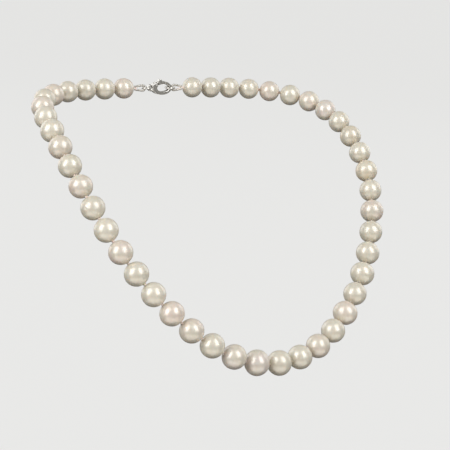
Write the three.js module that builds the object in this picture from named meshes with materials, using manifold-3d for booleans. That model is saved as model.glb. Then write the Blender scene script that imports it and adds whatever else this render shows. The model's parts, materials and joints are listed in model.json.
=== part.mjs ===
// A single-strand pearl necklace, knotted on silk, in the drape that it takes round a neck.
//
// Millimetres, +Z up, +X towards the wearer's left, +Y towards the wearer's back.
// The origin is the point on the nape of the neck that the clasp and the end pearls rest against.
// The strand is symmetric about the X = 0 plane. It runs from a front centre pearl up both sides
// of the neck, and a lobster clasp between two jump rings closes it behind the neck.

import * as THREE from 'three';
import { mergeVertices } from 'three/addons/utils/BufferGeometryUtils.js';
import Module from 'manifold-3d';

const wasm = await Module();
wasm.setup();

// ---- Driving dimensions -------------------------------------------------------------------

// The pearls are graduated: the largest hangs at the front centre, the smallest sit at the clasp.
const FRONT_PEARL_DIAMETER = 9.5;
const CLASP_PEARL_DIAMETER = 8.5;
const PEARLS_PER_SIDE = 22;
const KNOT_GAP = 0.62;
const DRILL_DIAMETER = 1.0;
const THREAD_DIAMETER = 0.6;
const KNOT_DIAMETER = 1.2;

// Half of the strand's centre line, from the front centre to the middle of the nape.
const HALF_ROUTE = [
  [0, -96.8, -91.3],
  [19.6, -94.6, -87.2],
  [35.7, -89.3, -76.7],
  [48.5, -82, -63.5],
  [58.2, -73.2, -48.9],
  [64.8, -62.5, -34],
  [68, -49.2, -20.6],
  [67.9, -33.3, -9.9],
  [64.4, -17.3, -3.9],
  [56, -4.8, -1.6],
  [43, 2, -0.6],
  [22.5, 4, -0.1],
  [0, 4.25, 0],
];

const GIMP_DIAMETER = 0.9;
const GIMP_BEND_RADIUS = 1.1;
const RING_RADIUS = 1.9;
const RING_WIRE_DIAMETER = 0.7;

const CLAW_THICKNESS = 2.2;
const CLAW_OUTER = { x: 1.3, z: 0, halfLength: 4.7, halfHeight: 2.9 };
const CLAW_OPENING = { x: 2.0, z: 0, halfLength: 3.1, halfHeight: 1.6 };
const EYE_X = -3.8;
const EYE_OUTER_RADIUS = 1.45;
const EYE_HOLE_RADIUS = 0.8;
const EYE_THICKNESS = 1.4;

const GATE_START_X = -0.7;
const GATE_END_X = 3.3;
const GATE_FLOOR_Z = 0.3;
const LEVER_START_X = -0.2;
const LEVER_END_X = 3.0;
const LEVER_THICKNESS = 1.6;
const PIVOT = { x: -1.55, z: 1.6 };
const PIN_RADIUS = 0.35;
const PIN_HOLE_RADIUS = 0.43;
const TONGUE_THICKNESS = 0.7;
const SLOT_WIDTH = 1.0;
const SLOT_START_X = -2.5;
const SLOT_FLOOR_Z = 0.45;
const THUMB_KNOB = { x: 0.5, z: 2.9, radius: 0.75 };

const SPRING = { startX: -2.42, length: 0.46, z: 0.95, coilRadius: 0.26, wireRadius: 0.06, turns: 2.5 };

// ---- Sizes worked out from them -----------------------------------------------------------

const CLASP_CENTRE = new THREE.Vector3(0, CLASP_PEARL_DIAMETER / 2, 0);
const RING_OFFSET_X = RING_RADIUS - EYE_X;
const GIMP_BEND_X = RING_OFFSET_X + RING_RADIUS;
const SIDES = [{ name: 'left', sign: 1 }, { name: 'right', sign: -1 }];

// Place 0 is the front centre pearl, and the last place is the pearl next to the clasp.
function pearlDiameter(place) {
  return THREE.MathUtils.lerp(FRONT_PEARL_DIAMETER, CLASP_PEARL_DIAMETER, place / PEARLS_PER_SIDE);
}

// ---- Materials ----------------------------------------------------------------------------

function material(colour, roughness, metalness) {
  return new THREE.MeshStandardMaterial({ color: colour, roughness, metalness });
}

const nacre = () => material(0xe9dfd0, 0.28, 0);
const silk = () => material(0xeeddd6, 0.8, 0);
const silver = () => material(0xd9d8d4, 0.2, 1);
const gimpWire = () => material(0xcfcdc8, 0.35, 1);
const springSteel = () => material(0xa9abad, 0.35, 1);

// ---- Solids: helpers for cutting and joining ----------------------------------------------

function withoutSlivers(geometry) {
  const kept = [];
  const index = geometry.index.array;
  for (let corner = 0; corner < index.length; corner += 3) {
    const [a, b, c] = [index[corner], index[corner + 1], index[corner + 2]];
    if (a !== b && b !== c && c !== a) {
      kept.push(a, b, c);
    }
  }
  return new Uint32Array(kept);
}

function toSolid(geometry) {
  const bare = geometry.clone();
  bare.deleteAttribute('normal');
  bare.deleteAttribute('uv');
  const merged = mergeVertices(bare, 1e-5);
  return new wasm.Manifold(new wasm.Mesh({
    numProp: 3,
    vertProperties: new Float32Array(merged.attributes.position.array),
    triVerts: withoutSlivers(merged),
  }));
}

function toGeometry(solid) {
  const mesh = solid.getMesh();
  const geometry = new THREE.BufferGeometry();
  geometry.setAttribute('position', new THREE.BufferAttribute(mesh.vertProperties, 3));
  geometry.setIndex(new THREE.BufferAttribute(mesh.triVerts, 1));
  return geometry;
}

function namedMesh(name, geometry, finish) {
  const mesh = new THREE.Mesh(geometry, finish);
  mesh.name = name;
  return mesh;
}

// ---- The strand's route -------------------------------------------------------------------

function strandRoute() {
  const leftHalf = HALF_ROUTE.map(([x, y, z]) => new THREE.Vector3(x, y, z));
  const rightHalf = HALF_ROUTE.slice(1, -1).reverse().map(([x, y, z]) => new THREE.Vector3(-x, y, z));
  return new THREE.CatmullRomCurve3([...leftHalf, ...rightHalf], true, 'centripetal');
}

// Halves the interval until it closes on the first place along the route that passes the test.
function firstPlace(route, start, span, passes) {
  let low = start;
  let high = start + span;
  for (let halving = 0; halving < 40; halving += 1) {
    const middle = (low + high) / 2;
    if (passes(route.getPoint(middle))) {
      high = middle;
    } else {
      low = middle;
    }
  }
  return high;
}

// The knots of the wearer's left side, front to nape. Each is one pearl and one gap past the last,
// and the first lies as far from its mirror image.
function leftKnots() {
  const route = strandRoute();
  const searchSpan = 1 / HALF_ROUTE.length;
  const frontPitch = pearlDiameter(0) + KNOT_GAP;
  let along = firstPlace(route, 0, searchSpan, (point) => 2 * point.x >= frontPitch);
  const knots = [route.getPoint(along)];
  for (let place = 1; place <= PEARLS_PER_SIDE; place += 1) {
    const last = knots[place - 1];
    const pitch = pearlDiameter(place) + KNOT_GAP;
    along = firstPlace(route, along, searchSpan, (point) => point.distanceTo(last) >= pitch);
    knots.push(route.getPoint(along));
  }
  return knots;
}

function mirrored(point, sign) {
  return new THREE.Vector3(point.x * sign, point.y, point.z);
}

// Lays a shape that was turned about the Y axis along the line from one point to another.
function layAlong(object, from, to) {
  const direction = new THREE.Vector3().subVectors(to, from).normalize();
  object.position.addVectors(from, to).multiplyScalar(0.5);
  object.quaternion.setFromUnitVectors(new THREE.Vector3(0, 1, 0), direction);
  return object;
}

// ---- Pearls -------------------------------------------------------------------------------

const PEARL_ARC_STEPS = 7;
const PEARL_SIDES = 10;

// A ball with the drilled hole along its Y axis.
function pearlGeometry(diameter) {
  const radius = diameter / 2;
  const rimAngle = Math.asin(DRILL_DIAMETER / 2 / radius);
  const profile = [];
  for (let step = 0; step <= PEARL_ARC_STEPS; step += 1) {
    const angle = rimAngle + (Math.PI - 2 * rimAngle) * (step / PEARL_ARC_STEPS);
    profile.push(new THREE.Vector2(radius * Math.sin(angle), -radius * Math.cos(angle)));
  }
  profile.push(profile[0].clone());
  return new THREE.LatheGeometry(profile, PEARL_SIDES);
}

function pearl(name, place, from, to) {
  return layAlong(namedMesh(name, pearlGeometry(pearlDiameter(place)), nacre()), from, to);
}

// The names number the pearls from the clasp down to the front.
function pearls(knots) {
  const group = new THREE.Group();
  group.add(pearl('pearl_front_centre', 0, knots[0], mirrored(knots[0], -1)));
  for (const side of SIDES) {
    for (let place = 1; place <= PEARLS_PER_SIDE; place += 1) {
      const number = String(PEARLS_PER_SIDE + 1 - place).padStart(2, '0');
      const upper = mirrored(knots[place], side.sign);
      const lower = mirrored(knots[place - 1], side.sign);
      group.add(pearl(`pearl_${side.name}_${number}`, place, upper, lower));
    }
  }
  return group;
}

// ---- Silk ---------------------------------------------------------------------------------

const KNOT_HALF_LENGTH = 0.3;
const THREAD_SIDES = 6;

// The silk inside one pearl, with the knot at its far end. A plain near end is buried in the knot
// of the stretch before it.
function silkStretch(from, to, startsWithKnot) {
  const end = from.distanceTo(to) / 2;
  const plainStart = [
    new THREE.Vector2(0, -end),
    new THREE.Vector2(THREAD_DIAMETER / 2, -end),
  ];
  const knottedStart = [
    new THREE.Vector2(0, -end - KNOT_HALF_LENGTH),
    new THREE.Vector2(KNOT_DIAMETER / 2, -end),
    new THREE.Vector2(THREAD_DIAMETER / 2, -end + KNOT_HALF_LENGTH),
  ];
  const profile = [
    ...(startsWithKnot ? knottedStart : plainStart),
    new THREE.Vector2(THREAD_DIAMETER / 2, end - KNOT_HALF_LENGTH),
    new THREE.Vector2(KNOT_DIAMETER / 2, end),
    new THREE.Vector2(0, end + KNOT_HALF_LENGTH),
  ];
  const stretch = layAlong(new THREE.Object3D(), from, to);
  stretch.updateMatrix();
  return toSolid(new THREE.LatheGeometry(profile, THREAD_SIDES).applyMatrix4(stretch.matrix));
}

// One length of silk runs through every pearl, from the front round to the clasp on both sides.
function silkThread(knots) {
  let thread = silkStretch(mirrored(knots[0], -1), knots[0], true);
  for (const side of SIDES) {
    for (let index = 0; index < PEARLS_PER_SIDE; index += 1) {
      const from = mirrored(knots[index], side.sign);
      const to = mirrored(knots[index + 1], side.sign);
      thread = thread.add(silkStretch(from, to, false));
    }
  }
  return namedMesh('silk_thread', toGeometry(thread), silk());
}

// ---- Gimp loops and jump rings ------------------------------------------------------------

const GIMP_SIDES = 8;
const GIMP_STEPS = 18;
const GIMP_LEG_END_SPREAD = 0.62;
const GIMP_KNOT_CLEARANCE = 0.75;

function circleShape(radius, sides) {
  const shape = new THREE.Shape();
  for (let side = 0; side < sides; side += 1) {
    const angle = (2 * Math.PI * side) / sides;
    const corner = [radius * Math.cos(angle), radius * Math.sin(angle)];
    if (side === 0) {
      shape.moveTo(...corner);
    } else {
      shape.lineTo(...corner);
    }
  }
  return shape;
}

// The U-shaped loop of fine coiled wire that guards the silk where it turns round a jump ring.
function gimpLoop(side, endKnot) {
  const legEnd = endKnot.x - GIMP_KNOT_CLEARANCE - CLASP_CENTRE.x;
  const points = [
    [legEnd, GIMP_LEG_END_SPREAD],
    [(legEnd + GIMP_BEND_X) / 2, GIMP_BEND_RADIUS * 0.93],
    [GIMP_BEND_X, GIMP_BEND_RADIUS],
    [GIMP_BEND_X - GIMP_BEND_RADIUS * Math.SQRT1_2, GIMP_BEND_RADIUS * Math.SQRT1_2],
    [GIMP_BEND_X - GIMP_BEND_RADIUS, 0],
    [GIMP_BEND_X - GIMP_BEND_RADIUS * Math.SQRT1_2, -GIMP_BEND_RADIUS * Math.SQRT1_2],
    [GIMP_BEND_X, -GIMP_BEND_RADIUS],
    [(legEnd + GIMP_BEND_X) / 2, -GIMP_BEND_RADIUS * 0.93],
    [legEnd, -GIMP_LEG_END_SPREAD],
  ];
  const path = new THREE.CatmullRomCurve3(points.map(([x, z]) => new THREE.Vector3(side.sign * x, 0, z)));
  const geometry = new THREE.ExtrudeGeometry(circleShape(GIMP_DIAMETER / 2, GIMP_SIDES), {
    steps: GIMP_STEPS,
    extrudePath: path,
  });
  const mesh = namedMesh(`gimp_loop_${side.name}`, geometry, gimpWire());
  mesh.position.copy(CLASP_CENTRE);
  return mesh;
}

const RING_WIRE_SIDES = 6;
const RING_STEPS = 16;

// A closed jump ring, lying level, through a gimp loop and through one end of the claw.
function jumpRing(side) {
  const geometry = new THREE.TorusGeometry(RING_RADIUS, RING_WIRE_DIAMETER / 2, RING_WIRE_SIDES, RING_STEPS);
  const mesh = namedMesh(`jump_ring_${side.name}`, geometry, silver());
  mesh.position.set(side.sign * RING_OFFSET_X, 0, 0).add(CLASP_CENTRE);
  return mesh;
}

// ---- Lobster clasp ------------------------------------------------------------------------

const ELLIPSE_SEGMENTS = 14;
const HOLE_SEGMENTS = 6;
const CUT_MARGIN = 1;

// Stands a shape drawn in X and Z upright, with its thickness centred on the X-Z plane.
function upright(shape, thickness, curveSegments) {
  const geometry = new THREE.ExtrudeGeometry(shape, { depth: thickness, bevelEnabled: false, curveSegments });
  geometry.rotateX(Math.PI / 2);
  geometry.translate(0, thickness / 2, 0);
  return toSolid(geometry);
}

function ellipse(place, thickness) {
  const shape = new THREE.Shape();
  shape.absellipse(place.x, place.z, place.halfLength, place.halfHeight, 0, 2 * Math.PI);
  return upright(shape, thickness, ELLIPSE_SEGMENTS);
}

function disc(x, z, radius, thickness) {
  const shape = new THREE.Shape();
  shape.absarc(x, z, radius, 0, 2 * Math.PI);
  return upright(shape, thickness, HOLE_SEGMENTS);
}

function block(startX, endX, startZ, endZ, thickness) {
  const geometry = new THREE.BoxGeometry(endX - startX, thickness, endZ - startZ);
  geometry.translate((startX + endX) / 2, 0, (startZ + endZ) / 2);
  return toSolid(geometry);
}

function polygon(corners, thickness) {
  return upright(new THREE.Shape(corners.map(([x, z]) => new THREE.Vector2(x, z))), thickness, 1);
}

const THROUGH = CLAW_THICKNESS + 2 * CUT_MARGIN;
const TOP_Z = CLAW_OUTER.halfHeight + CUT_MARGIN;

// The hooked body, with the eye at its tail, a slot for the lever and a hole for its pin.
function clawBody() {
  const eye = disc(EYE_X, 0, EYE_OUTER_RADIUS, EYE_THICKNESS);
  const body = ellipse(CLAW_OUTER, CLAW_THICKNESS)
    .add(eye)
    .subtract(disc(EYE_X, 0, EYE_HOLE_RADIUS, THROUGH))
    .subtract(ellipse(CLAW_OPENING, THROUGH))
    .subtract(block(GATE_START_X, GATE_END_X, GATE_FLOOR_Z, TOP_Z, THROUGH))
    .subtract(block(SLOT_START_X, GATE_START_X + CUT_MARGIN, SLOT_FLOOR_Z, TOP_Z, SLOT_WIDTH))
    .subtract(disc(PIVOT.x, PIVOT.z, PIN_HOLE_RADIUS, THROUGH));
  return claspMesh('clasp_body', body, silver());
}

// The lever that closes the claw: a curved bar, a thumb knob, and a tongue on the pivot pin.
function clawLever() {
  const bar = ellipse(CLAW_OUTER, LEVER_THICKNESS)
    .subtract(ellipse(CLAW_OPENING, THROUGH))
    .intersect(block(LEVER_START_X, LEVER_END_X, GATE_FLOOR_Z, TOP_Z, THROUGH));
  const tongue = polygon([
    [PIVOT.x - 0.3, PIVOT.z - 0.85],
    [PIVOT.x + 0.3, PIVOT.z - 0.85],
    [PIVOT.x + 0.45, PIVOT.z - 0.35],
    [LEVER_START_X + 0.2, PIVOT.z - 0.35],
    [LEVER_START_X + 0.2, PIVOT.z + 1.0],
    [PIVOT.x, PIVOT.z + 0.72],
    [PIVOT.x - 0.6, PIVOT.z + 0.3],
  ], TONGUE_THICKNESS);
  const lever = bar
    .add(tongue)
    .add(disc(THUMB_KNOB.x, THUMB_KNOB.z, THUMB_KNOB.radius, LEVER_THICKNESS))
    .subtract(disc(PIVOT.x, PIVOT.z, PIN_HOLE_RADIUS, THROUGH));
  return claspMesh('clasp_lever', lever, silver());
}

function leverPin() {
  return claspMesh('clasp_lever_pin', disc(PIVOT.x, PIVOT.z, PIN_RADIUS, CLAW_THICKNESS), silver());
}

// A short coil that lies along X behind the tongue's tail and pushes the lever shut.
function leverSpring() {
  const stepsPerTurn = 10;
  const steps = Math.round(SPRING.turns * stepsPerTurn);
  const points = [];
  for (let step = 0; step <= steps; step += 1) {
    const angle = (2 * Math.PI * step) / stepsPerTurn;
    points.push(new THREE.Vector3(
      SPRING.startX + SPRING.length * (step / steps),
      SPRING.coilRadius * Math.cos(angle),
      SPRING.z + SPRING.coilRadius * Math.sin(angle),
    ));
  }
  const geometry = new THREE.ExtrudeGeometry(circleShape(SPRING.wireRadius, 5), {
    steps,
    extrudePath: new THREE.CatmullRomCurve3(points),
  });
  const mesh = namedMesh('clasp_lever_spring', geometry, springSteel());
  mesh.position.copy(CLASP_CENTRE);
  return mesh;
}

function claspMesh(name, solid, finish) {
  const mesh = namedMesh(name, toGeometry(solid), finish);
  mesh.position.copy(CLASP_CENTRE);
  return mesh;
}

// ---- Assembly -----------------------------------------------------------------------------

function necklace() {
  const knots = leftKnots();
  const endKnot = knots[PEARLS_PER_SIDE];
  const group = new THREE.Group();
  group.name = 'pearl_necklace';
  group.add(pearls(knots));
  group.add(silkThread(knots));
  for (const side of SIDES) {
    group.add(gimpLoop(side, endKnot));
    group.add(jumpRing(side));
  }
  group.add(clawBody());
  group.add(clawLever());
  group.add(leverPin());
  group.add(leverSpring());
  return group;
}

export default necklace();
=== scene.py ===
"""The looks of a single-strand pearl necklace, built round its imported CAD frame.

Metres, +Z up, +X towards the wearer's left, +Y towards the wearer's back. Every pearl and every
stretch of silk lies between two knots, and the knots are where the frame's joints say.
"""

import json
import math
import random

import bpy
from mathutils import Matrix, Vector, noise


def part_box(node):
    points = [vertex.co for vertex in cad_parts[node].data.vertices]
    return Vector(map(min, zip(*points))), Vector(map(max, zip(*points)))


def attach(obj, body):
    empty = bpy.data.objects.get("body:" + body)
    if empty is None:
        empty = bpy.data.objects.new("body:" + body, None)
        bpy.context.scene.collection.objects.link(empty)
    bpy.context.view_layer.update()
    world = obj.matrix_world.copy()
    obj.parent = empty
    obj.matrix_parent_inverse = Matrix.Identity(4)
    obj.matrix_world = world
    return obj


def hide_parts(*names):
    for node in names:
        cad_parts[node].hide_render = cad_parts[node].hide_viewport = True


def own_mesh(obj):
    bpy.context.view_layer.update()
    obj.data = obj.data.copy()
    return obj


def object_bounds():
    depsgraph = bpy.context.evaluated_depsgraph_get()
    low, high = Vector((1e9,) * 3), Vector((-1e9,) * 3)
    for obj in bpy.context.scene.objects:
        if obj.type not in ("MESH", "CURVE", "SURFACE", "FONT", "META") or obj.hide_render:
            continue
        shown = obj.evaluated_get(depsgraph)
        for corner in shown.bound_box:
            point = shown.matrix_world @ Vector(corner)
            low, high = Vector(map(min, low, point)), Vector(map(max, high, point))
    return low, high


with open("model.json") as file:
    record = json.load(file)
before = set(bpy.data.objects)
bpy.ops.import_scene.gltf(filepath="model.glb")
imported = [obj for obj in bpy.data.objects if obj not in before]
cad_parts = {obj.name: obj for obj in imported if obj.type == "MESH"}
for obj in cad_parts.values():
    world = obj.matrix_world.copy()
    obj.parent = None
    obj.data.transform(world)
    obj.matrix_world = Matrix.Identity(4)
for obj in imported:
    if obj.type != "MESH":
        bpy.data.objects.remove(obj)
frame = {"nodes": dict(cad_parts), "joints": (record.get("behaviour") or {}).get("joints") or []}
CAD_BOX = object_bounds()

MM = 0.001
JOINTS = {joint["name"]: joint for joint in frame["joints"]}
SIDES = ("left", "right")
# The knot beyond a side's first pearl is number 2, so the last number is the count of pearls.
PEARLS_PER_SIDE = max(int(name[-2:]) for name in JOINTS if name.startswith("knot_left_"))

# ---- Camera ----------------------------------------------------------------------------------

CAMERA_AZIMUTH = math.radians(326.45)
CAMERA_ELEVATION = math.radians(12.2)
CAMERA_ROLL = math.radians(3.73)
CAMERA_LENS = 120.1
SENSOR_WIDTH = 36.0
# How far the nape lies right of, above and in front of the camera.
NAPE_IN_VIEW = Vector((-0.0258, 0.0569, 0.6287))


def camera_axes():
    """The camera's right, up and forward directions."""
    flat = math.cos(CAMERA_ELEVATION)
    forward = Vector((
        -math.sin(CAMERA_AZIMUTH) * flat,
        math.cos(CAMERA_AZIMUTH) * flat,
        -math.sin(CAMERA_ELEVATION),
    ))
    level_right = forward.cross(Vector((0, 0, 1))).normalized()
    level_up = level_right.cross(forward)
    right = level_right * math.cos(CAMERA_ROLL) + level_up * math.sin(CAMERA_ROLL)
    return right, right.cross(forward), forward


RIGHT, UP, FORWARD = camera_axes()


def seen_direction(right, up):
    """The direction from a pearl's middle to the point of its near side that is seen there."""
    towards = math.sqrt(max(0.0, 1 - right * right - up * up))
    return RIGHT * right + UP * up - FORWARD * towards


def add_camera():
    data = bpy.data.cameras.new("camera")
    data.lens = CAMERA_LENS
    data.sensor_width = SENSOR_WIDTH
    data.clip_start = 0.01
    data.clip_end = 100
    camera = bpy.data.objects.new("camera", data)
    bpy.context.scene.collection.objects.link(camera)
    turn = Matrix((RIGHT, UP, -FORWARD)).transposed().to_4x4()
    place = -(RIGHT * NAPE_IN_VIEW.x + UP * NAPE_IN_VIEW.y + FORWARD * NAPE_IN_VIEW.z)
    camera.matrix_world = Matrix.Translation(place) @ turn
    bpy.context.scene.camera = camera


# ---- Stage -----------------------------------------------------------------------------------

FLOOR_BELOW = 0.055
FLOOR_HALF_SIZE = 20.0
FLOOR_COLOUR = (0.06, 0.06, 0.059, 1)
FLOOR_GLOW_COLOUR = (0.80, 0.80, 0.79, 1)
FLOOR_GLOW = 0.93
# The darkest grain of the floor, as a share of its colour.
FLOOR_GRAIN = 0.985
WORLD_COLOUR = (1.0, 0.98, 0.93, 1)
# How bright the surroundings are overhead and level with the pearls, and underneath them.
WORLD_STRENGTH = 0.32
WORLD_STRENGTH_BELOW = 0.10
# The heights of the direction, -1 to 1, between which the brightness rises.
WORLD_RISE = (-0.55, 0.1)

# Each light: its name, how many degrees it stands right of and above the line of sight, how far
# off, how wide and high it is, its power in watts and its colour.
LIGHTS = (
    ("key_left", -44, 22, 1.1, (0.60, 1.05), 7.3, (0.98, 0.99, 1.0)),
    ("key_right", 42, 27, 1.1, (0.60, 1.05), 7.0, (0.97, 0.985, 1.0)),
    ("bounce", 4, -62, 0.9, (2.20, 0.85), 7.0, (1.0, 0.96, 0.90)),
    ("back_left", -128, 24, 1.1, (0.80, 0.90), 2.5, (0.98, 0.99, 1.0)),
    ("back_right", 128, 24, 1.1, (0.80, 0.90), 2.5, (0.98, 0.99, 1.0)),
)


def light_direction(across, above):
    """The direction of a light that stands so many degrees right of and above the line of sight."""
    level = math.cos(math.radians(above))
    return (
        RIGHT * math.sin(math.radians(across)) * level
        + UP * math.sin(math.radians(above))
        - FORWARD * math.cos(math.radians(across)) * level
    )


def add_lights(centre):
    """Large soft lights, placed round the middle of the strand."""
    for name, across, above, distance, size, power, colour in LIGHTS:
        data = bpy.data.lights.new(name, "AREA")
        data.shape = "RECTANGLE"
        data.size, data.size_y = size
        data.energy = power
        data.color = colour
        lamp = bpy.data.objects.new(name, data)
        bpy.context.scene.collection.objects.link(lamp)
        away = light_direction(across, above)
        lamp.location = centre + away * distance
        lamp.rotation_euler = away.to_track_quat("Z", "Y").to_euler()


def add_world():
    """Soft warm light from all round, weaker from below."""
    world = bpy.data.worlds.new("studio")
    bpy.context.scene.world = world
    world.use_nodes = True
    background = world.node_tree.nodes["Background"]
    background.inputs["Color"].default_value = WORLD_COLOUR
    nodes = Nodes(world.node_tree)
    direction = nodes.add("ShaderNodeTexCoord").outputs["Generated"]
    height = nodes.add("ShaderNodeSeparateXYZ", Vector=direction).outputs["Z"]
    strength = nodes.spread(height, *WORLD_RISE, WORLD_STRENGTH_BELOW, WORLD_STRENGTH)
    nodes.join(strength, background.inputs["Strength"])


def add_floor(height):
    """A pale floor, which neither lights the pearls nor shows in them."""
    half = FLOOR_HALF_SIZE
    signs = ((-1, -1), (1, -1), (1, 1), (-1, 1))
    corners = [(half * right, half * back, height) for right, back in signs]
    mesh = bpy.data.meshes.new("floor")
    mesh.from_pydata(corners, [], [(0, 1, 2, 3)])
    floor = bpy.data.objects.new("floor", mesh)
    bpy.context.scene.collection.objects.link(floor)
    mesh.materials.append(floor_material())
    floor.visible_diffuse = False
    floor.visible_glossy = False


# ---- Materials -------------------------------------------------------------------------------


def new_material(name):
    """An empty node material, its shader and the short calls that add and join its nodes."""
    material = bpy.data.materials.new(name)
    material.use_nodes = True
    tree = material.node_tree
    return material, tree.nodes["Principled BSDF"], Nodes(tree)


class Nodes:
    """Adds nodes to a material. An input is a number, a colour, or another node's output."""

    def __init__(self, tree):
        self.tree = tree

    def join(self, value, socket):
        if isinstance(value, bpy.types.NodeSocket):
            self.tree.links.new(value, socket)
        else:
            socket.default_value = value

    def add(self, kind, settings=None, **inputs):
        node = self.tree.nodes.new(kind)
        for key, value in (settings or {}).items():
            setattr(node, key, value)
        for key, value in inputs.items():
            self.join(value, node.inputs[key.replace("_", " ")])
        return node

    def coordinates(self, offset=(0, 0, 0), scale=(1, 1, 1), turn=(0, 0, 0)):
        """The piece's own coordinates in metres, moved, scaled and turned."""
        source = self.add("ShaderNodeTexCoord").outputs["Object"]
        mapping = self.add(
            "ShaderNodeMapping", Vector=source, Location=offset, Rotation=turn, Scale=scale
        )
        return mapping.outputs["Vector"]

    def noise(self, vector, scale, detail=2.0, roughness=0.5, distortion=0.0):
        node = self.add(
            "ShaderNodeTexNoise",
            Vector=vector, Scale=scale, Detail=detail, Roughness=roughness, Distortion=distortion,
        )
        return node.outputs["Fac"]

    def spots(self, vector, scale):
        """The distance to the nearest of many scattered points."""
        return self.add("ShaderNodeTexVoronoi", Vector=vector, Scale=scale).outputs["Distance"]

    def bands(self, vector, scale, distortion, detail):
        """Wavy bands across the Z axis."""
        node = self.add(
            "ShaderNodeTexWave",
            {"bands_direction": "Z"},
            Vector=vector, Scale=scale, Distortion=distortion, Detail=detail,
        )
        return node.outputs["Fac"]

    def spread(self, value, low, high, to_low=0.0, to_high=1.0):
        """The range low to high stretched over another range, and clamped to it."""
        node = self.add("ShaderNodeMapRange", {"clamp": True})
        for index, entry in enumerate((value, low, high, to_low, to_high)):
            self.join(entry, node.inputs[index])
        return node.outputs["Result"]

    def mix(self, share, first, second):
        """A colour of which so large a share is second, and the rest first."""
        node = self.add("ShaderNodeMix", {"data_type": "RGBA"})
        self.join(share, node.inputs["Factor"])
        self.join(first, node.inputs[6])
        self.join(second, node.inputs[7])
        return node.outputs[2]

    def combine(self, first, second, operation):
        node = self.add("ShaderNodeMath", {"operation": operation})
        self.join(first, node.inputs[0])
        self.join(second, node.inputs[1])
        return node.outputs[0]

    def times(self, first, second):
        return self.combine(first, second, "MULTIPLY")

    def plus(self, first, second):
        return self.combine(first, second, "ADD")

    def bump(self, height, strength, distance, normal=None):
        node = self.add("ShaderNodeBump", Height=height, Strength=strength, Distance=distance)
        if normal is not None:
            self.join(normal, node.inputs["Normal"])
        return node.outputs["Normal"]


def rgb(red, green, blue):
    """A node colour from the numbers 0 to 255 of a screen colour."""
    def linear(value):
        share = value / 255
        return share / 12.92 if share <= 0.04045 else ((share + 0.055) / 1.055) ** 2.4
    return (linear(red), linear(green), linear(blue), 1)


def set_constants(shader, values):
    """Sets what is the same all over a surface on the shader's own sockets."""
    for socket, value in values.items():
        shader.inputs[socket].default_value = value


def floor_material():
    material, shader, nodes = new_material("pale_floor")
    grain = nodes.noise(nodes.coordinates(), scale=40.0)
    darker = tuple(FLOOR_GRAIN * part for part in FLOOR_COLOUR[:3]) + (1,)
    nodes.join(nodes.mix(grain, FLOOR_COLOUR, darker), shader.inputs["Base Color"])
    set_constants(shader, {
        "Roughness": 0.9,
        "Specular IOR Level": 0.2,
        "Emission Color": FLOOR_GLOW_COLOUR,
        "Emission Strength": FLOOR_GLOW,
    })
    return material


# Screen colours of nacre: its body and the overtones that drift over it.
CREAM = (225, 218, 202)
ROSE = (229, 211, 200)
LILAC = (224, 211, 207)
GREEN = (223, 217, 200)
GOLD = (223, 207, 179)
GROWTH_LINE = (246, 240, 230)
PIT = (196, 174, 150)


def nacre(name, overtone, body, shift):
    """Nacre: a cream body with drifting overtones, faint growth lines and small pits."""
    material, shader, nodes = new_material(name)
    where = nodes.coordinates(shift)
    drift = nodes.noise(where, scale=160.0, detail=2.0, roughness=0.5, distortion=0.6)
    drift = nodes.spread(drift, 0.35, 0.68)
    cloud = nodes.spread(nodes.noise(where, scale=420.0, detail=3.0, roughness=0.6), 0.4, 0.75)
    colour = nodes.mix(nodes.times(drift, 0.75), rgb(*body), rgb(*overtone))
    colour = nodes.mix(nodes.times(cloud, 0.22), colour, rgb(*GOLD))
    across = nodes.coordinates(shift, turn=(0.3, 0.2, 0))
    lines = nodes.bands(across, scale=260.0, distortion=9.0, detail=2.0)
    colour = nodes.mix(nodes.times(lines, 0.05), colour, rgb(*GROWTH_LINE))
    pits = nodes.spread(nodes.spots(where, scale=330.0), 0.0, 0.16)
    colour = nodes.mix(nodes.spread(pits, 0.0, 1.0, to_low=0.16, to_high=0.0), colour, rgb(*PIT))
    nodes.join(colour, shader.inputs["Base Color"])
    gloss = nodes.noise(where, scale=700.0, detail=3.0)
    nodes.join(nodes.spread(gloss, 0.3, 0.7, to_low=0.28, to_high=0.36), shader.inputs["Roughness"])
    set_constants(shader, {
        "Metallic": 0.14,
        "Subsurface Weight": 0.22,
        "Subsurface Radius": (1.0, 0.75, 0.55),
        "Subsurface Scale": 0.0012,
        "IOR": 1.66,
        "Specular IOR Level": 1.0,
        "Coat Weight": 0.22,
        "Coat Roughness": 0.2,
        "Coat IOR": 1.5,
    })
    ripple = nodes.noise(where, scale=380.0, detail=2.0, roughness=0.55, distortion=0.4)
    grain = nodes.noise(where, scale=1700.0, detail=3.0, roughness=0.6)
    normal = nodes.bump(ripple, strength=0.12, distance=0.00012)
    normal = nodes.bump(grain, strength=0.14, distance=0.00003, normal=normal)
    normal = nodes.bump(pits, strength=0.35, distance=0.00005, normal=normal)
    nodes.join(normal, shader.inputs["Normal"])
    return material


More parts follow.
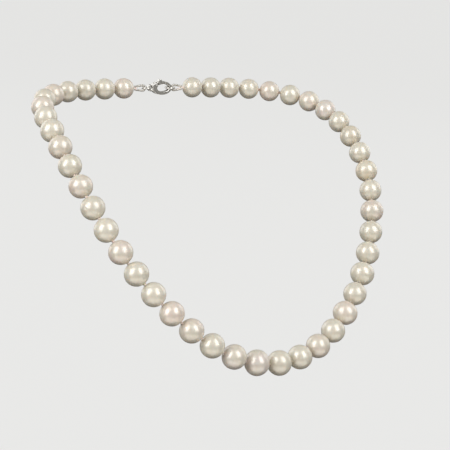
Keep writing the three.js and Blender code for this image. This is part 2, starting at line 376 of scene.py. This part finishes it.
def silk_material():
    """Matte pinkish white silk, with the fine lines of its filaments."""
    material, shader, nodes = new_material("silk_thread_fibre")
    where = nodes.coordinates()
    along = nodes.coordinates(scale=(1, 1, 0.12))
    strands = nodes.noise(along, scale=9000.0, detail=3.0, roughness=0.65)
    soil = nodes.spread(nodes.noise(where, scale=700.0, detail=2.0), 0.35, 0.75)
    colour = nodes.mix(strands, rgb(240, 220, 210), rgb(252, 242, 235))
    colour = nodes.mix(nodes.times(soil, 0.3), colour, rgb(232, 206, 194))
    nodes.join(colour, shader.inputs["Base Color"])
    rough = nodes.spread(strands, 0.0, 1.0, to_low=0.6, to_high=0.85)
    nodes.join(rough, shader.inputs["Roughness"])
    set_constants(shader, {
        "Sheen Weight": 0.35,
        "Sheen Roughness": 0.4,
        "Subsurface Weight": 0.1,
        "Subsurface Scale": 0.0003,
    })
    normal = nodes.bump(strands, strength=0.5, distance=0.00003)
    nodes.join(normal, shader.inputs["Normal"])
    return material


# Each metal: its bright and dull screen colours, its least and greatest roughness, and how deep
# its scratches look.
METALS = {
    "silver": ((240, 238, 234), (222, 219, 213), (0.16, 0.26), 0.10),
    "gimp_wire": ((238, 235, 229), (220, 216, 208), (0.24, 0.36), 0.08),
    "spring_steel": ((168, 170, 172), (138, 139, 141), (0.25, 0.38), 0.3),
}


def metal(name, bright, dull, roughness, scratches):
    """Polished metal with hairline scratches, and faint clouding that dulls and roughens it."""
    material, shader, nodes = new_material(name)
    clouding = nodes.noise(nodes.coordinates(), scale=900.0, detail=4.0, roughness=0.6)
    clouding = nodes.spread(clouding, 0.35, 0.7)
    drawn_out = nodes.coordinates(scale=(1, 5, 1), turn=(0.4, 0.7, 0.2))
    hairlines = nodes.noise(drawn_out, scale=5200.0, detail=5.0, roughness=0.7)
    nodes.join(nodes.mix(clouding, rgb(*bright), rgb(*dull)), shader.inputs["Base Color"])
    set_constants(shader, {"Metallic": 1.0})
    rough = nodes.plus(nodes.spread(clouding, 0.0, 1.0, *roughness), nodes.times(hairlines, 0.05))
    nodes.join(rough, shader.inputs["Roughness"])
    normal = nodes.bump(hairlines, strength=scratches, distance=0.00001)
    nodes.join(normal, shader.inputs["Normal"])
    return material


# ---- Mesh helpers ----------------------------------------------------------------------------


def new_piece(name, points, faces, material):
    mesh = bpy.data.meshes.new(name)
    mesh.from_pydata(points, [], faces)
    mesh.validate()
    for face in mesh.polygons:
        face.use_smooth = True
    mesh.materials.append(material)
    piece = bpy.data.objects.new(name, mesh)
    bpy.context.scene.collection.objects.link(piece)
    return piece


def ring_faces(rings, sides, first=0, closed=False):
    """The quads between neighbouring rings of points. Closed joins the last ring to the first."""
    faces = []
    for ring in range(rings if closed else rings - 1):
        low = first + ring * sides
        high = first + (ring + 1) % rings * sides
        for side in range(sides):
            following = (side + 1) % sides
            faces.append((low + side, low + following, high + following, high + side))
    return faces


def tube(path, radius, sides, closed=False, outline=None):
    """Points and faces of a tube along a path. outline(place, angle) scales its radius."""
    count = len(path)
    points = []
    across = None
    for place, centre in enumerate(path):
        before = path[place - 1] if place or closed else path[place]
        after = path[(place + 1) % count] if place < count - 1 or closed else path[place]
        along = (after - before).normalized()
        if across is None:
            across = along.orthogonal().normalized()
        across = (across - along * across.dot(along)).normalized()
        beside = along.cross(across)
        for side in range(sides):
            angle = 2 * math.pi * side / sides
            reach = radius * (outline(place, angle) if outline else 1)
            points.append(centre + (across * math.cos(angle) + beside * math.sin(angle)) * reach)
    faces = ring_faces(count, sides, closed=closed)
    if not closed:
        faces.append(tuple(reversed(range(sides))))
        faces.append(tuple((count - 1) * sides + side for side in range(sides)))
    return points, faces


def together(*shells):
    """Several sets of points and faces as one."""
    points, faces = [], []
    for some_points, some_faces in shells:
        shift = len(points)
        points.extend(some_points)
        faces.extend(tuple(corner + shift for corner in face) for face in some_faces)
    return points, faces


def lathe(profile, sides):
    """Points and faces of a closed body turned round Z. The profile starts and ends on the axis."""
    points = [Vector((0, 0, profile[0][1]))]
    for radius, height in profile[1:-1]:
        for side in range(sides):
            angle = 2 * math.pi * side / sides
            points.append(Vector((radius * math.cos(angle), radius * math.sin(angle), height)))
    points.append(Vector((0, 0, profile[-1][1])))
    rings = len(profile) - 2
    faces = ring_faces(rings, sides, first=1)
    last = len(points) - 1
    for side in range(sides):
        following = (side + 1) % sides
        faces.append((0, 1 + following, 1 + side))
        faces.append((last, last - sides + side, last - sides + following))
    return points, faces


# ---- The strand ------------------------------------------------------------------------------

# From the pivot of a gimp loop out to the end knot, which is drawn tight on the loop.
END_KNOT_FROM_PIVOT = (4.539 * MM, 0.02 * MM, -0.013 * MM)


def joint_place(joint):
    return Vector(JOINTS[joint]["pos_m"])


def end_knot(side):
    outwards, back, up = END_KNOT_FROM_PIVOT
    sign = 1 if side == "left" else -1
    return joint_place(f"gimp_loop_{side}_swing") + Vector((sign * outwards, back, up))


def body_of(pearl):
    """The body that carries a pearl. The first pearl of a side moves with its gimp loop."""
    return pearl.replace("pearl", "gimp_loop")[:-3] if pearl.endswith("_01") else pearl


def strand():
    """Each pearl, with the knot on its clasp side and the knot on its front side."""
    front = joint_place("knot_front_centre")
    front_right = Vector((-front.x, front.y, front.z))
    front_ends = {"left": front, "right": front_right}
    spans = []
    for side in SIDES:
        places = [end_knot(side)]
        for number in range(2, PEARLS_PER_SIDE + 1):
            places.append(joint_place(f"knot_{side}_{number:02d}"))
        places.append(front_ends[side])
        for number in range(1, PEARLS_PER_SIDE + 1):
            spans.append((f"pearl_{side}_{number:02d}", places[number - 1], places[number]))
    spans.append(("pearl_front_centre", front, front_right))
    return spans


def laid_between(start, end):
    """The placement that puts a body's middle halfway and its Z axis along the line."""
    along = (end - start).normalized()
    return Matrix.Translation((start + end) / 2) @ along.to_track_quat("Z", "Y").to_matrix().to_4x4()


# ---- Pearls ----------------------------------------------------------------------------------

KNOT_GAP = 0.62 * MM
DRILL_RADIUS = 0.5 * MM
RIM_RADIUS = 0.58 * MM
RIM_DEPTH = 0.07 * MM
PEARL_SIDES = 96
PEARL_RINGS = 58
WALL_RINGS = 4
# How far from its drill hole a pearl stays a true ball.
ROUND_POLE = math.radians(24)
# How far a pearl is from round, as shares of its radius: oval across its hole, and in lumps, each
# with how many of them there are to a radius and how high they stand.
OVAL = (-0.010, 0.012)
LUMPS = ((1.3, 0.010), (4.0, 0.0028))
LUMP_SHIFT = 50
# What a pearl with no entry below may have.
USUAL_OVERTONES = (CREAM, ROSE, GREEN)
USUAL_WIDTH = (0.995, 1.015)
# How much lighter or darker than cream a pearl's body may be, in steps of a screen colour.
TONE = 5

# What sets single pearls apart: overtone, how wide and deep they are beside their length along the
# silk, and the marks on them as (right, up) on the side that faces the camera.
OVERTONES = {
    "pearl_right_07": ROSE, "pearl_right_08": CREAM, "pearl_right_09": CREAM, "pearl_right_10": ROSE,
    "pearl_right_11": GREEN, "pearl_right_12": ROSE, "pearl_right_13": GREEN, "pearl_right_14": CREAM,
    "pearl_right_15": ROSE, "pearl_right_16": GREEN, "pearl_right_17": CREAM, "pearl_right_18": ROSE,
    "pearl_right_19": ROSE, "pearl_right_20": GREEN, "pearl_right_21": LILAC, "pearl_right_22": LILAC,
    "pearl_front_centre": GREEN, "pearl_left_22": GREEN, "pearl_left_21": ROSE, "pearl_left_20": CREAM,
    "pearl_left_19": ROSE, "pearl_left_18": CREAM, "pearl_left_17": GREEN, "pearl_left_16": GREEN,
    "pearl_left_15": GREEN, "pearl_left_14": ROSE, "pearl_left_13": GREEN, "pearl_left_12": GOLD,
    "pearl_left_11": CREAM, "pearl_left_10": GOLD, "pearl_left_09": GREEN, "pearl_left_08": LILAC,
}
WIDTHS = {
    "pearl_right_09": 1.03, "pearl_right_22": 1.06, "pearl_left_19": 1.04, "pearl_left_17": 1.05,
    "pearl_left_16": 1.03, "pearl_left_14": 1.04,
}
# Each crease: from, to, half width and depth, as shares of the radius.
CREASES = {
    "pearl_right_13": [
        ((-0.55, -0.02), (0.20, -0.42), 0.07, 0.030),
        ((-0.45, 0.22), (-0.2, 0.05), 0.06, 0.02),
    ],
    "pearl_right_12": [((-0.55, -0.38), (-0.1, -0.6), 0.05, 0.012)],
    "pearl_left_19": [((-0.32, -0.36), (-0.30, -0.52), 0.05, 0.035)],
    "pearl_right_09": [((0.15, 0.42), (0.4, 0.3), 0.06, 0.012)],
    "pearl_left_08": [
        ((0.0, 0.3), (0.3, 0.1), 0.07, 0.02),
        ((-0.2, 0.35), (0.1, 0.42), 0.06, 0.015),
    ],
}


def crease_depth(direction, creases):
    """How far the surface sinks at a direction, for creases given by their two end directions."""
    depth = 0.0
    for start, end, half_width, deepest in creases:
        line = end - start
        share = max(0.0, min(1.0, (direction - start).dot(line) / line.length_squared))
        distance = (direction - start - line * share).length
        depth += deepest * math.exp(-((distance / half_width) ** 2))
    return depth


def pearl_shape(radius, turn, width, creases, draw):
    """Points and faces of a drilled pearl with its hole along Z, slightly off round."""
    rim = math.asin(RIM_RADIUS / radius)
    shift = Vector([draw.uniform(0, LUMP_SHIFT) for _ in range(3)])
    oval = draw.uniform(*OVAL)
    oval_turn = draw.uniform(0, math.pi)
    points = []
    for ring in range(PEARL_RINGS):
        polar = rim + (math.pi - 2 * rim) * ring / (PEARL_RINGS - 1)
        height = -math.cos(polar)
        pole = min(1.0, (min(polar, math.pi - polar) - rim) / ROUND_POLE)
        free = pole * pole * (3 - 2 * pole)
        for side in range(PEARL_SIDES):
            angle = 2 * math.pi * side / PEARL_SIDES
            flat = math.sin(polar)
            direction = Vector((flat * math.cos(angle), flat * math.sin(angle), height))
            swell = (width - 1) * flat * flat + oval * flat * math.cos(2 * (angle - oval_turn))
            for per_radius, height_share in LUMPS:
                swell += height_share * noise.noise(direction * per_radius + shift)
            if creases:
                swell -= crease_depth(turn @ direction, creases)
            points.append(direction * radius * (1 + free * swell))
    top = radius * math.cos(rim) - RIM_DEPTH
    for ring in range(WALL_RINGS):
        height = top - 2 * top * ring / (WALL_RINGS - 1)
        for side in range(PEARL_SIDES):
            angle = 2 * math.pi * side / PEARL_SIDES
            right, back = DRILL_RADIUS * math.cos(angle), DRILL_RADIUS * math.sin(angle)
            points.append(Vector((right, back, height)))
    return points, ring_faces(PEARL_RINGS + WALL_RINGS, PEARL_SIDES, closed=True)


def add_pearls(draw):
    """Every pearl: a drilled ball between its two knots, with its own shape, colour and marks."""
    for pearl, near, far in strand():
        place = laid_between(near, far)
        radius = ((far - near).length - KNOT_GAP) / 2
        turn = place.to_3x3()
        creases = [
            (seen_direction(*start), seen_direction(*end), half_width, depth)
            for start, end, half_width, depth in CREASES.get(pearl, [])
        ]
        overtone = OVERTONES.get(pearl, draw.choice(USUAL_OVERTONES))
        tone = draw.uniform(-TONE, TONE)
        shade = tuple(part + tone for part in CREAM)
        shift = tuple(draw.uniform(0, 1) for _ in range(3))
        width = WIDTHS.get(pearl, draw.uniform(*USUAL_WIDTH))
        points, faces = pearl_shape(radius, turn, width, creases, draw)
        material = nacre(f"nacre_{pearl}", overtone, shade, shift)
        piece = new_piece(f"{pearl}_nacre", points, faces, material)
        piece.matrix_world = place
        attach(piece, body_of(pearl))
        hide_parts(pearl)


# ---- Silk ------------------------------------------------------------------------------------

THREAD_RADIUS = 0.3 * MM
THREAD_SIDES = 15
THREAD_PLIES = 3
THREAD_STEP = 0.14 * MM
PLY_LENGTH = 1.6 * MM
PLY_GROOVE = 0.14
KNOT_REACH = 0.46 * MM
KNOT_RISE = 0.17 * MM
KNOT_STRAND_RADIUS = 0.23 * MM
KNOT_STEPS = 60
KNOT_SIDES = 9


def twisted(step_length):
    """The outline of a thread of three plies that turn as they run."""
    def outline(place, angle):
        turn = angle - 2 * math.pi * place * step_length / PLY_LENGTH
        return 1 - PLY_GROOVE + PLY_GROOVE * abs(math.cos(turn * THREAD_PLIES / 2))
    return outline


def thread_along(path):
    """A twisted thread along evenly spaced points."""
    step_length = (path[1] - path[0]).length
    return tube(path, THREAD_RADIUS, THREAD_SIDES, outline=twisted(step_length))


def knot_at(centre, place, turn):
    """A pulled-tight overhand knot round the silk, as a closed strand wound in three lobes."""
    basis = place.to_3x3() @ Matrix.Rotation(turn, 3, "Z")
    path = []
    for step in range(KNOT_STEPS):
        angle = 2 * math.pi * step / KNOT_STEPS
        path.append(centre + basis @ Vector((
            KNOT_REACH * (math.sin(angle) + 2 * math.sin(2 * angle)) / 3,
            KNOT_REACH * (math.cos(angle) - 2 * math.cos(2 * angle)) / 3,
            -KNOT_RISE * math.sin(3 * angle),
        )))
    return tube(path, KNOT_STRAND_RADIUS, KNOT_SIDES, closed=True)


def straight_path(start, end, step):
    count = max(2, round((end - start).length / step))
    return [start.lerp(end, index / count) for index in range(count + 1)]


def add_silk(draw, material):
    """One piece of silk for each pearl: the thread through it and the knot on its clasp side."""
    for pearl, near, far in strand():
        place = laid_between(near, far)
        shells = [thread_along(straight_path(near, far, THREAD_STEP))]
        shells.append(knot_at(near, place, draw.uniform(0, math.pi)))
        if pearl == f"pearl_right_{PEARLS_PER_SIDE:02d}":
            shells.append(knot_at(far, place, draw.uniform(0, math.pi)))
        add_silk_piece(f"silk_in_{pearl}", shells, material, body_of(pearl))


def add_silk_piece(name, shells, material, body):
    piece = new_piece(name, *together(*shells), material)
    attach(piece, body)
    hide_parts("silk_thread")


# ---- Gimp loops and jump rings ---------------------------------------------------------------

GIMP_RADIUS = 0.45 * MM
GIMP_WIRE_RADIUS = 0.065 * MM
GIMP_PITCH = 0.135 * MM
GIMP_TURN_STEPS = 12
GIMP_WIRE_SIDES = 6
GIMP_LEG_SPREAD = 0.62 * MM
GIMP_KNOT_CLEARANCE = 0.75 * MM
# The silk comes out of its gimp by this share of the way to the end knot.
SILK_PAST_GIMP = 0.9
LOOP_STEP = 0.1 * MM
RING_WIRE_RADIUS = 0.35 * MM
RING_STEPS = 120
RING_SIDES = 24
# The solder of a ring: where it is, as a share of the way round, how many beads would go round,
# how high the bead stands and how deep its grooves are, as shares of the wire's radius.
SOLDER_PLACE = 0.3
SOLDER_BEADS_ROUND = 60
SOLDER_HEIGHT = 0.05
SOLDER_GROOVE = 0.06


def evenly(points, step):
    """Points a fixed step apart along a line through the given ones."""
    lengths = [0.0]
    for before, after in zip(points, points[1:]):
        lengths.append(lengths[-1] + (after - before).length)
    count = max(2, round(lengths[-1] / step))
    spaced = []
    place = 0
    for index in range(count + 1):
        wanted = lengths[-1] * index / count
        while place < len(points) - 2 and lengths[place + 1] < wanted:
            place += 1
        share = (wanted - lengths[place]) / (lengths[place + 1] - lengths[place])
        spaced.append(points[place].lerp(points[place + 1], min(1.0, share)))
    return spaced


def loop_path(side, reach):
    """The U that the silk and its gimp take round a jump ring, out to a distance past the pivot."""
    pivot = joint_place(f"gimp_loop_{side}_swing")
    sign = 1 if side == "left" else -1
    low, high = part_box(f"gimp_loop_{side}")
    bend = (high.z - low.z) / 2 - GIMP_RADIUS
    leg = abs(end_knot(side).x - pivot.x) - GIMP_KNOT_CLEARANCE + reach
    spread = GIMP_LEG_SPREAD * (1 - reach / GIMP_KNOT_CLEARANCE)
    outline = [(leg, spread)]
    for degrees in range(80, 281, 5):
        angle = math.radians(degrees)
        outline.append((bend * math.cos(angle), bend * math.sin(angle)))
    outline.append((leg, -spread))
    return [pivot + Vector((sign * x, 0, z)) for x, z in outline]


def wound(path, reach, pitch, steps):
    """A helix round a path of evenly spaced points in the X-Z plane."""
    step = (path[1] - path[0]).length
    length = step * (len(path) - 1)
    count = round(length / pitch) * steps
    points = []
    for index in range(count + 1):
        along = index / count * (len(path) - 1)
        place = min(int(along), len(path) - 2)
        centre = path[place].lerp(path[place + 1], along - place)
        direction = (path[place + 1] - path[place]).normalized()
        across = Vector((0, 1, 0))
        beside = direction.cross(across)
        angle = 2 * math.pi * index / steps
        points.append(centre + (across * math.cos(angle) + beside * math.sin(angle)) * reach)
    return points


def add_gimp_loops(wire, silk):
    """On each side, a coil of fine wire round the jump ring, and the silk inside it."""
    for side in SIDES:
        body = f"gimp_loop_{side}"
        path = evenly(loop_path(side, 0), LOOP_STEP)
        coil = wound(path, GIMP_RADIUS - GIMP_WIRE_RADIUS, GIMP_PITCH, GIMP_TURN_STEPS)
        piece = new_piece(f"{body}_coil", *tube(coil, GIMP_WIRE_RADIUS, GIMP_WIRE_SIDES), wire)
        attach(piece, body)
        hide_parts(body)
        thread = evenly(loop_path(side, GIMP_KNOT_CLEARANCE * SILK_PAST_GIMP), LOOP_STEP)
        add_silk_piece(f"silk_in_{body}", [thread_along(thread)], silk, body)


def add_jump_rings(material):
    for side in SIDES:
        body = f"jump_ring_{side}"
        low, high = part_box(body)
        centre = joint_place(f"{body}_turn")
        radius = (high.x - low.x) / 2 - RING_WIRE_RADIUS
        path = []
        for step in range(RING_STEPS):
            angle = 2 * math.pi * step / RING_STEPS
            path.append(centre + Vector((radius * math.cos(angle), radius * math.sin(angle), 0)))
        points, faces = tube(path, RING_WIRE_RADIUS, RING_SIDES, closed=True, outline=soldered)
        piece = new_piece(f"{body}_wire", points, faces, material)
        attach(piece, body)
        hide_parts(body)


def soldered(place, angle):
    """A jump ring's outline: a low bead of solder, with a fine groove each side of it."""
    away = (place - RING_STEPS * SOLDER_PLACE) / RING_STEPS * SOLDER_BEADS_ROUND
    bead = SOLDER_HEIGHT * math.exp(-(away ** 2))
    grooves = SOLDER_GROOVE * math.exp(-((abs(away) - 2.0) / 0.5) ** 2)
    return 1 + bead - grooves


# ---- Lobster clasp ---------------------------------------------------------------------------

# Rounding of the castings: the voxel in millimetres, and how often and how much it is smoothed.
SOFTEN_VOXEL = 0.055
SOFTEN_ROUNDS = 12
SOFTEN_FACTOR = 0.5
PIN_RADIUS = 0.35 * MM
PIN_DOME = 0.12 * MM
PIN_SIDES = 32
PIN_DOME_STEP = 15
SPRING_TURNS = 4.5
SPRING_WIRE_RADIUS = 0.06 * MM
SPRING_STEPS = 90
SPRING_SIDES = 8


def softened(node, name, material):
    """A piece with a frame node's shape and its edges rounded off, as cast and tumbled metal has."""
    mesh = frame["nodes"][node].data.copy()
    mesh.transform(Matrix.Scale(1 / MM, 4))
    piece = bpy.data.objects.new(name, mesh)
    bpy.context.scene.collection.objects.link(piece)
    remesh = piece.modifiers.new("remesh", "REMESH")
    remesh.mode = "VOXEL"
    remesh.voxel_size = SOFTEN_VOXEL
    smooth = piece.modifiers.new("smooth", "SMOOTH")
    smooth.factor = SOFTEN_FACTOR
    smooth.iterations = SOFTEN_ROUNDS
    bpy.context.view_layer.update()
    graph = bpy.context.evaluated_depsgraph_get()
    rounded = bpy.data.meshes.new_from_object(piece.evaluated_get(graph))
    piece.modifiers.clear()
    rounded.transform(Matrix.Scale(MM, 4))
    rounded.materials.clear()
    rounded.materials.append(material)
    for face in rounded.polygons:
        face.use_smooth = True
    piece.data = rounded
    bpy.data.meshes.remove(mesh)
    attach(piece, node if node == "clasp_lever" else "clasp")
    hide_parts(node)


def add_pin(material):
    """The lever's pin, with a peened dome at each end."""
    low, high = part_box("clasp_lever_pin")
    half = (high.y - low.y) / 2
    dome = [(PIN_RADIUS * math.cos(angle), half + PIN_DOME * math.sin(angle))
            for angle in (math.radians(step) for step in range(0, 90, PIN_DOME_STEP))]
    upper = dome + [(0, half + PIN_DOME)]
    profile = [(radius, -height) for radius, height in reversed(upper)] + upper
    points, faces = lathe(profile, PIN_SIDES)
    piece = new_piece("clasp_lever_pin_rivet", points, faces, material)
    piece.matrix_world = Matrix.Translation((low + high) / 2) @ Matrix.Rotation(math.pi / 2, 4, "X")
    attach(piece, "clasp")
    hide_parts("clasp_lever_pin")


def add_spring(material):
    """The small coil behind the lever's tongue, which the opening lever presses on its seat."""
    low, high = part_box("clasp_lever_spring")
    centre = (low + high) / 2
    radius = (high.z - low.z) / 2 - SPRING_WIRE_RADIUS
    length = high.x - low.x - 2 * SPRING_WIRE_RADIUS
    path = []
    for step in range(SPRING_STEPS + 1):
        angle = 2 * math.pi * SPRING_TURNS * step / SPRING_STEPS
        along = length * (step / SPRING_STEPS - 0.5)
        path.append(centre + Vector((along, radius * math.cos(angle), radius * math.sin(angle))))
    points, faces = tube(path, SPRING_WIRE_RADIUS, SPRING_SIDES)
    piece = new_piece("clasp_lever_spring_coil", points, faces, material)
    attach(piece, "clasp")
    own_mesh(piece)
    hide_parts("clasp_lever_spring")


# ---- Scene -----------------------------------------------------------------------------------

SEED = 22


def main():
    draw = random.Random(SEED)
    silk = silk_material()
    silver, wire, steel = (metal(name, *finish) for name, finish in METALS.items())
    add_camera()
    add_pearls(draw)
    add_silk(draw, silk)
    add_gimp_loops(wire, silk)
    add_jump_rings(silver)
    softened("clasp_body", "clasp_body_cast", silver)
    softened("clasp_lever", "clasp_lever_cast", silver)
    add_pin(silver)
    add_spring(steel)
    low, high = CAD_BOX
    add_floor(low.z - FLOOR_BELOW)
    add_lights((low + high) / 2)
    add_world()
    bpy.context.scene.view_settings.view_transform = "Standard"


main()
